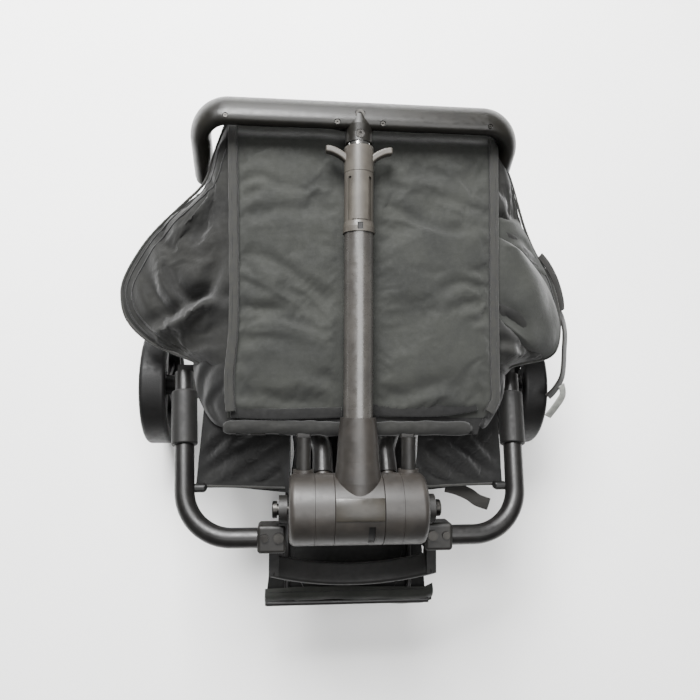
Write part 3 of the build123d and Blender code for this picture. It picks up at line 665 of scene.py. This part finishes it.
def gussets():
    """Slack cloth between the panel's foot and the end of the rod, one each side."""
    for side, sign, inner in (("left", -1, 145), ("right", 1, 158)):
        piece = drape(
            f"cabin_gusset_{side}", DARK_CLOTH,
            (((sign * inner, 200, -20), (sign * (inner - 1), 150, -20), (sign * (inner - 6), 110, -20),
              (sign * (inner - 16), 88, -19)),
             ((sign * 186, 186, -56), (sign * 184, 150, -50), (sign * 176, 118, -40), (sign * 158, 90, -34),
              (sign * (inner - 10), 84, -26))),
            (5,), 50, 30,
            ((((sign * 148, 170), (sign * 170, 140), (sign * 172, 112)), 6, 5.0),
             (((sign * 146, 132), (sign * 160, 112), (sign * 150, 92)), 5, 4.0)), 1.6,
        )
        thicken(piece, 1.0)
        smooth(piece, 80)
        placed("post", "grey_polyester", piece)


# ------------------------------------------------------------------ webbing
def webbing():
    """Carry strap with its pale end, and the basket's webbing tab."""
    loop = [
        (246, 236, -74), (257, 232, -74), (266, 222, -76), (271, 204, -78), (270.5, 180, -79),
        (269, 160, -79), (266, 144, -79), (258, 130, -81), (250, 121, -84),
    ]
    strap = tape("carry_strap_loop", STRAP_TAPE, loop, 17, 2.4, (0.76, 0, 0.65))
    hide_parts("carry_strap")
    end = [(263, 136, -72), (266, 124, -76), (259, 110, -80), (250, 96, -86)]
    placed("seat", "dark_webbing", strap, tape("carry_strap_end", GREY_TAPE, end, 12, 2.0, (0.5, 0, 0.85)))
    tab = [(112, 15, -58), (126, 11, -62), (142, 4, -64), (152, -3, -64), (166, -8, -64)]
    placed("front_frame", "dark_webbing", tape("basket_tab", STRAP_TAPE, tab, 15, 2.0))


# ------------------------------------------------------------------ lower cloth and basket
def aprons():
    """Lower cloth each side of the knuckle, pulled into slanting folds, with its clip."""
    for side, sign in (("left", -1), ("right", 1)):
        folds = (
            (((sign * 96, 84), (sign * 130, 60), (sign * 176, 24)), 7, 6.0),
            (((sign * 78, 74), (sign * 104, 48), (sign * 150, 16)), 7, 5.0),
            (((sign * 134, 86), (sign * 158, 62), (sign * 174, 44)), 6, 5.0),
            (((sign * 76, 40), (sign * 96, 28), (sign * 120, 14)), 5, 3.0),
        )
        piece = drape(
            f"basket_apron_{side}", DARK_CLOTH,
            (((sign * 74, 86, -28), (sign * 110, 88, -28), (sign * 146, 94, -32), (sign * 170, 112, -42)),
             ((sign * 73, 10, -50), (sign * 104, 13, -52), (sign * 140, 16, -53), (sign * 179, 16, -52))),
            (-4,), 64, 52, folds, 1.6,
        )
        settle(piece, lambda x, p: 84 < abs(x) < 164 and 24 < p < 78, 0.05, 0.1, 12, 3)
        thicken(piece, 1.2)
        smooth(piece, 80)
        line = [(sign * x, 13 + 0.03 * x) for x in range(78, 176, 12)]
        hem = sewn_line(f"apron_hem_{side}", BINDING, dropped(piece, line, 0.2), 1.4)
        only()
        bpy.ops.mesh.primitive_cube_add(size=1, location=at(sign * 174, 17, -46), scale=(0.014, 0.007, 0.010))
        clip = named(f"apron_clip_{side}", HIDDEN_BLACK)
        bpy.ops.object.mode_set(mode="EDIT")
        bpy.ops.mesh.select_all(action="SELECT")
        bpy.ops.mesh.inset(thickness=0.0015, depth=0.0012, use_individual=True)
        bpy.ops.object.mode_set(mode="OBJECT")
        modify(clip, "BEVEL", width=0.0009, segments=2)
        placed("front_frame", "grey_polyester", piece, hem)
        placed("front_frame", "black_moulding", clip)


def basket():
    """Basket slung in its wire loop: sagging floor, gathered walls and a sewn hem over the rear wire."""
    low, high = [(corner - HUB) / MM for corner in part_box("basket")]
    middle, half = (low + high) / 2, (high - low) / 2

    def bag(u, v):
        angle = 2 * np.pi * u
        square = (np.abs(np.cos(angle)) ** 6 + np.abs(np.sin(angle)) ** 6) ** (-1 / 6)
        ring, wall = np.minimum(1, v * 2.1), np.clip((v - 0.476) / 0.524, 0, 1)
        gather = 1 + 0.02 * np.sin(angle * 19 + 2 * np.sin(angle * 3)) * wall
        x = middle.x + half.x * square * np.cos(angle) * ring * (0.9 + 0.08 * wall) * gather
        p = middle.y + half.y * square * np.sin(angle) * ring * (0.93 + 0.06 * wall) * gather
        return x, p, low.z + 3 + 27 * wall ** 1.2 + ripple(x, p, 42, 1.4) * (1 - wall)

    piece = cloth("basket_cloth", DARK_CLOTH, 168, 44, bag)
    thicken(piece, 1.2, 0.0)
    smooth(piece, 80)
    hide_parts("basket", "basket_aprons")

    def strip(u, v):
        x = -101 + 205 * u
        p = -111 - 22 * v + 1.4 * np.sin(u * 5) + 4 * np.clip((u - 0.95) / 0.05, 0, 1)
        roll = 6 * np.sin(np.pi * np.minimum(1, v * 1.2)) - 6 * v ** 2
        return x, p, -97 + roll + 0.8 * np.sin(u * 23 + v * 2) + ripple(x, p, 19, 0.6)

    hem = cloth("basket_rear_hem", PANEL_CLOTH, 110, 18, strip)
    thicken(hem, 2.4)
    smooth(hem, 80)
    wall = drape(
        "basket_rear_wall", DARK_CLOTH,
        (((-90, -42, -101), (0, -42, -101), (90, -42, -101)),
         ((-99, -116, -105), (0, -116, -106), (96, -116, -105))),
        (-3,), 60, 30, (), 1.2,
    )
    thicken(wall, 1.2)
    smooth(wall, 80)
    seam = dropped(hem, [(x, -114.5) for x in range(-96, 100, 16)], 0.1)
    stitch = sewn_line("basket_hem_stitch", THREAD, seam, 0.5)
    placed("front_frame", "grey_polyester", piece, hem, wall, stitch)


# ------------------------------------------------------------------ canopy and seat
def canopy():
    """Canopy cloth from the backrest to the front bow: a fan of pleats."""
    half, head, foot, corner, layers = 149.0, 393.0, 196.0, 28.0, 14
    leg = head - foot - corner
    bend = corner * np.pi / 2
    path = 2 * (leg + bend + half - corner)

    def shape(u, v):
        s = np.abs(u - 0.5) * path
        flat = np.clip(s, 0, half - corner)
        turn = np.clip((s - flat) / corner, 0, np.pi / 2)
        run = np.clip(s - (half - corner) - bend, 0, leg)
        x = flat + corner * np.sin(turn)
        p = head - corner + corner * np.cos(turn) - run
        pleat = 2.4 * np.sin(v * layers * np.pi) * np.minimum(1, 12 * np.minimum(v, 1 - v))
        x = (x + pleat * np.sin(turn)) * np.where(u < 0.5, -1, 1)
        return x, p + pleat * np.cos(turn), -28.6 - 6.6 * v

    piece = cloth("canopy_fan", PANEL_CLOTH, 150, layers * 4, shape)
    thicken(piece, 0.6)
    smooth(piece, 80)
    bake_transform(piece)
    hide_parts("canopy_cloth")


def seat_cushion():
    """Padded seat on its sloping sheet: foam under cloth, crowned and sewn into three channels."""
    slope = math.radians(-13)

    def shape(u, v):
        s = 63 + 192 * v
        edge = np.minimum(np.minimum(u, 1 - u) * 236, np.minimum(v, 1 - v) * 192)
        channel = np.abs((v * 3 + 0.5) % 1 - 0.5)
        quilt = 1 - 0.5 * np.exp(-(channel * 64 / 5) ** 2) * (v > 0.1) * (v < 0.9)
        lift = -7.4 + 8.2 * (1 - np.exp(-edge / 8)) * quilt + ripple(u * 236, s, 40, 0.4)
        p = 84 + s * math.cos(slope) - lift * math.sin(slope)
        h = -18.5 + s * math.sin(slope) + lift * math.cos(slope)
        return -118 + 236 * u, p, h

    piece = cloth("seat_cushion", PANEL_CLOTH, 90, 80, shape)
    thicken(piece, 1.6)
    smooth(piece, 80)
    placed("seat", "grey_polyester", piece)
    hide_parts("seat_pad")


# ------------------------------------------------------------------ small hard details
def label_plate():
    """Blank curved plate on the middle knuckle."""
    only()
    bpy.ops.mesh.primitive_cylinder_add(
        vertices=144, radius=0.0385, depth=0.0505, end_fill_type="NOTHING", location=HUB,
        rotation=(0, math.radians(90), 0),
    )
    piece = named("label_plate", PLATE)
    bpy.ops.object.mode_set(mode="EDIT")
    shell = bmesh.from_edit_mesh(piece.data)
    for face in shell.faces:
        centre = (face.calc_center_median() - HUB) / MM
        face.select_set(not (centre.z > 0 and -6 < centre.y < 17))
    bmesh.update_edit_mesh(piece.data)
    bpy.ops.mesh.delete(type="FACE")
    bpy.ops.mesh.select_all(action="SELECT")
    bpy.ops.mesh.normals_make_consistent(inside=False)
    bpy.ops.object.mode_set(mode="OBJECT")
    thicken(piece, 0.5, 1.0)
    modify(piece, "BEVEL", width=0.0002, segments=2)
    smooth(piece, 40)
    placed("post", "black_moulding", piece)


def collar_window():
    """Dark catch in the small window at the collar's foot."""
    only()
    bpy.ops.mesh.primitive_cube_add(size=1, location=at(0, 304.6, 22.6), scale=(0.0062, 0.0082, 0.0045))
    piece = named("collar_catch", HIDDEN_BLACK)
    bpy.ops.object.mode_set(mode="EDIT")
    bpy.ops.mesh.select_all(action="SELECT")
    bpy.ops.mesh.inset(thickness=0.0009, depth=-0.0005, use_individual=True)
    bpy.ops.object.mode_set(mode="OBJECT")
    modify(piece, "BEVEL", width=0.0004, segments=2)
    placed("post", "black_moulding", piece)


# ------------------------------------------------------------------ stage
def studio():
    """Pale floor, a dim even room and soft boxes above and beyond the grip."""
    only()
    bpy.ops.mesh.primitive_plane_add(size=9, location=(0, 0, -0.0006))
    floor = named("floor", surface("pale_floor", "#f6f6f5", "#fbfbfa", 300, 0.9)[0])
    world = bpy.data.worlds.new("soft_room")
    world.use_nodes = True
    world.node_tree.nodes["Background"].inputs["Color"].default_value = (1, 1, 1, 1)
    world.node_tree.nodes["Background"].inputs["Strength"].default_value = 0.2
    bpy.context.scene.world = world
    boxes = (
        ("key_softbox", (-0.4, 1.3, 1.6), 0.9, 175), ("top_softbox", (0.3, 0.0, 2.4), 1.6, 60),
        ("far_softbox", (-0.2, 1.9, 0.9), 1.0, 30),
    )
    for name, place, size, power in boxes:
        light = bpy.data.lights.new(name, "AREA")
        light.shape = "SQUARE"
        light.size = size
        light.energy = power
        holder = bpy.data.objects.new(name, light)
        holder.location = place
        holder.rotation_euler = (Vector((0, 0, 0.2)) - Vector(place)).to_track_quat("-Z", "Y").to_euler()
        bpy.context.collection.objects.link(holder)


def camera():
    """Camera above the hub, looking almost straight down."""
    data = bpy.data.cameras.new("overhead_camera")
    data.lens = 32.9
    data.sensor_width = 36
    data.clip_end = 20
    holder = bpy.data.objects.new("overhead_camera", data)
    holder.location = HUB + Vector((-0.0735, 0.1226, 0.6979))
    holder.rotation_euler = [math.radians(angle) for angle in (3.98, -5.35, 0.24)]
    bpy.context.collection.objects.link(holder)
    bpy.context.scene.camera = holder


finish_cad_nodes()
back_panel()
panel_trim()
rod_sleeve()
cabin_wing("left", LEFT_ROOT, LEFT_EDGE, LEFT_UNDER, LEFT_FOLDS, (7, 16))
cabin_wing("right", RIGHT_ROOT, RIGHT_EDGE, RIGHT_UNDER, RIGHT_FOLDS, (5,))
right_layers()
gussets()
webbing()
aprons()
basket()
canopy()
seat_cushion()
label_plate()
collar_window()
studio()
camera()
only()
